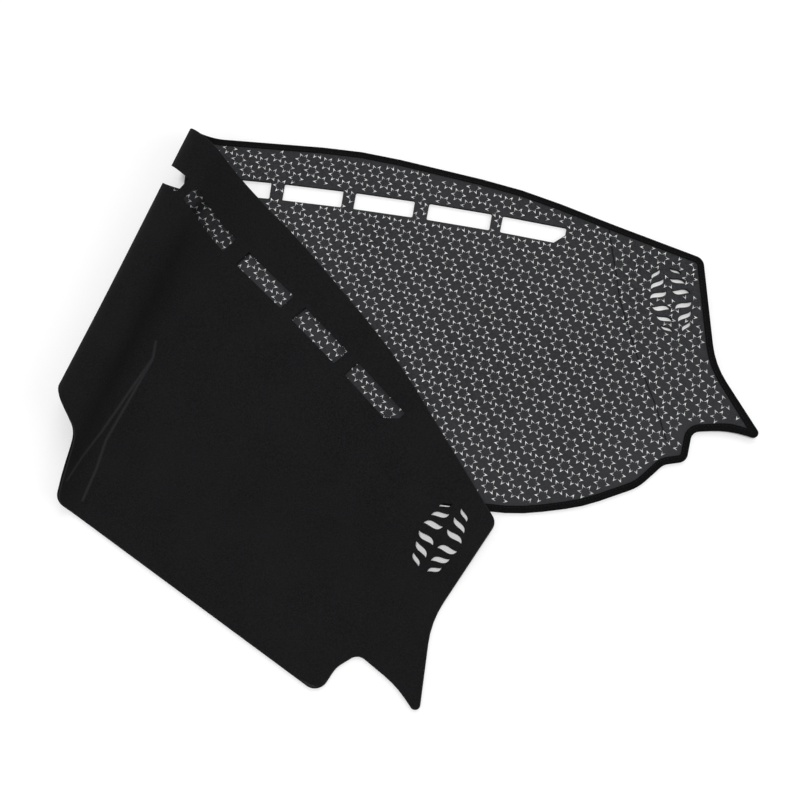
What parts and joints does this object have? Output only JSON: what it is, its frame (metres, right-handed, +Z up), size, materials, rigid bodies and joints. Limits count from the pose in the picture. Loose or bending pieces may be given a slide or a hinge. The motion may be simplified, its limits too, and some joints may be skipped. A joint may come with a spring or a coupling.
{
  "type": "dashboard cover mat",
  "caption": "Folded dark carpet dashboard cover with demister slots, wavy speaker slits, a bound edge and a charcoal anti-slip backing with small star marks.",
  "frame": {"origin": "middle of the folded mat's bounding box, at the height of the surface it lies on", "axes": "+X to the right of the picture, along the longest extent; +Z up, across the sheet that lies flat; +Y away from the camera, towards the windscreen edge"},
  "size_m": [0.8362, 0.7114, 0.0683],
  "materials": {
    "plush_carpet": "short black plush pile",
    "anti_slip_cloth": "matt charcoal cloth with raised light star marks",
    "binding_tape": "black woven tape, sewn"
  },
  "bodies": {
    "root": {"carpet_face": "plush_carpet", "anti_slip_backing": "anti_slip_cloth", "edge_binding": "binding_tape"}
  },
  "joints": []
}
